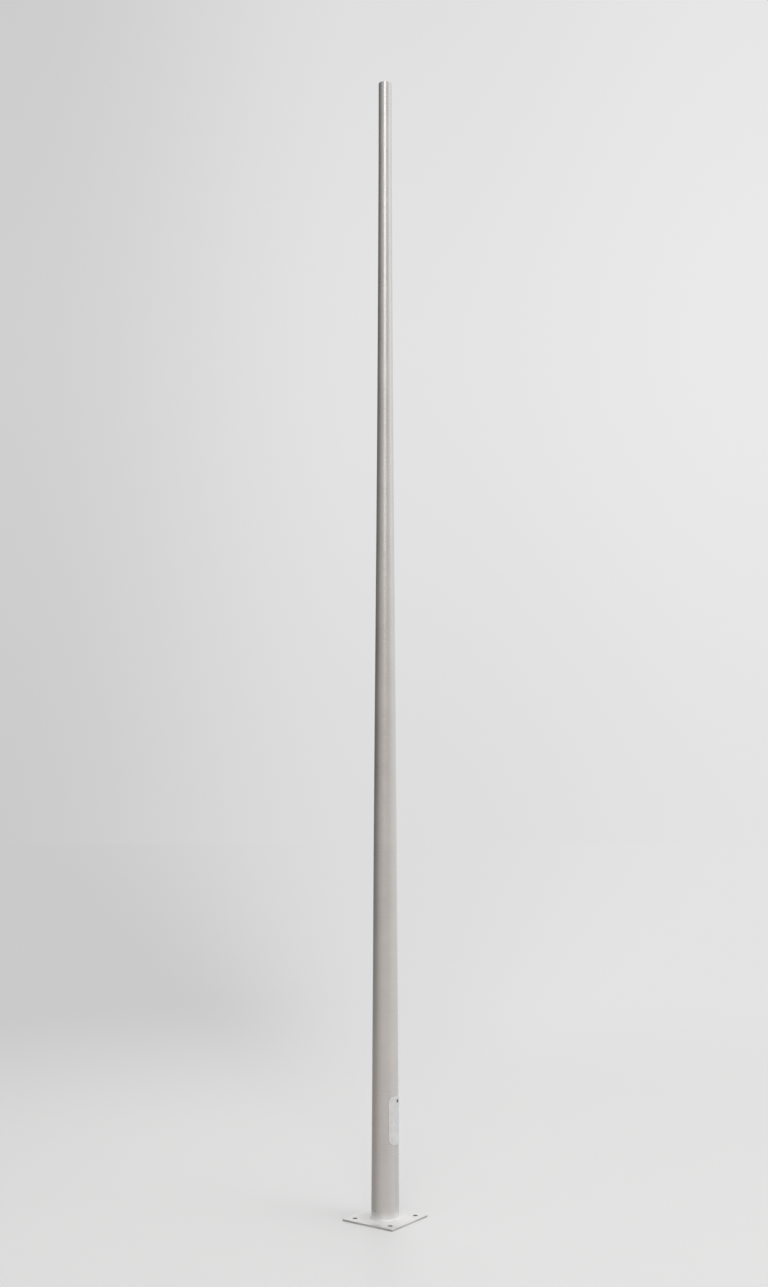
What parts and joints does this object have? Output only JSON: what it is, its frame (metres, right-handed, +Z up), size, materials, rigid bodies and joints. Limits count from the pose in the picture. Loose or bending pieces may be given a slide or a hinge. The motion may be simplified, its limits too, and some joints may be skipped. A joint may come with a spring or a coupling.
{
  "type": "street lamp post",
  "caption": "Tall tapered round metal lamp post with a square bolt-down base plate and a curved locking service door over a fused electrical cut-out.",
  "frame": {"origin": "centre of the base plate's underside, on the post's axis", "axes": "+Z up along the post; X and Y parallel to the base plate's sides; the service door faces -Y, turned 9 degrees towards +X"},
  "size_m": [0.255, 0.255, 5],
  "materials": {
    "post_aluminium": "brushed circumferentially, satin, clear anodised",
    "plate_aluminium": "milled and satin anodised",
    "weld_aluminium": "rippled weld bead",
    "frame_aluminium": "mill finish",
    "door_aluminium": "satin, cool silver, finely mottled",
    "seal_foam": "closed-cell foam",
    "lock_steel": "stainless, turned",
    "key_steel": "stainless, oiled",
    "bright_steel": "zinc plated",
    "board_laminate": "brown paper laminate",
    "cutout_grey": "moulded grey plastic",
    "cover_grey": "moulded light grey plastic",
    "carrier_black": "moulded black plastic",
    "terminal_brass": "machined",
    "blade_copper": "tinned edge, plain copper",
    "fuse_ceramic": "glazed ceramic",
    "cap_nickel": "nickel plated",
    "gland_black": "moulded nylon",
    "earth_brass": "turned",
    "lug_tin": "tinned",
    "lead_green_yellow": "green with a yellow stripe"
  },
  "bodies": {
    "post": {"shaft": "post_aluminium", "base_plate": "plate_aluminium", "base_weld": "weld_aluminium", "door_frame": "frame_aluminium", "door_gasket": "seal_foam", "equipment_board": "board_laminate", "board_bracket_lower": "frame_aluminium", "board_bracket_upper": "frame_aluminium", "board_screws": "bright_steel", "cutout_base": "cutout_grey", "cutout_screws": "bright_steel", "terminals": "terminal_brass", "terminal_screws": "bright_steel", "fuse_clips": "blade_copper", "terminal_cover": "cover_grey", "cover_screw": "bright_steel", "cable_glands": "gland_black", "gland_nuts": "gland_black", "earth_stud": "earth_brass", "earth_washers": "earth_brass", "earth_nut": "earth_brass", "earth_lug": "lug_tin", "earth_lead": "lead_green_yellow"},
    "door": {"door": "door_aluminium", "door_hook": "frame_aluminium", "lock_barrel": "lock_steel", "lock_barrel_nut": "bright_steel"},
    "lock": {"lock_spindle": "key_steel", "lock_cam": "bright_steel", "cam_screw": "bright_steel"},
    "carrier": {"fuse_carrier": "carrier_black", "carrier_blades": "blade_copper", "fuse_barrel": "fuse_ceramic", "fuse_caps": "cap_nickel"}
  },
  "joints": [
    {"name": "door_tilt", "type": "hinge", "parent": "post", "child": "door", "pos_m": [0.00912, -0.05761, 0.305], "axis": [0.9877, 0.1564, 0], "range_deg": [0, 15]},
    {"name": "lock_turn", "type": "hinge", "parent": "door", "child": "lock", "pos_m": [0.00782, -0.04938, 0.483], "axis": [0.1564, -0.9877, 0], "range_deg": [0, 90]},
    {"name": "fuse_pull", "type": "slide", "parent": "post", "child": "carrier", "axis": [0.1564, -0.9877, 0], "range_m": [0, 0.02]}
  ]
}
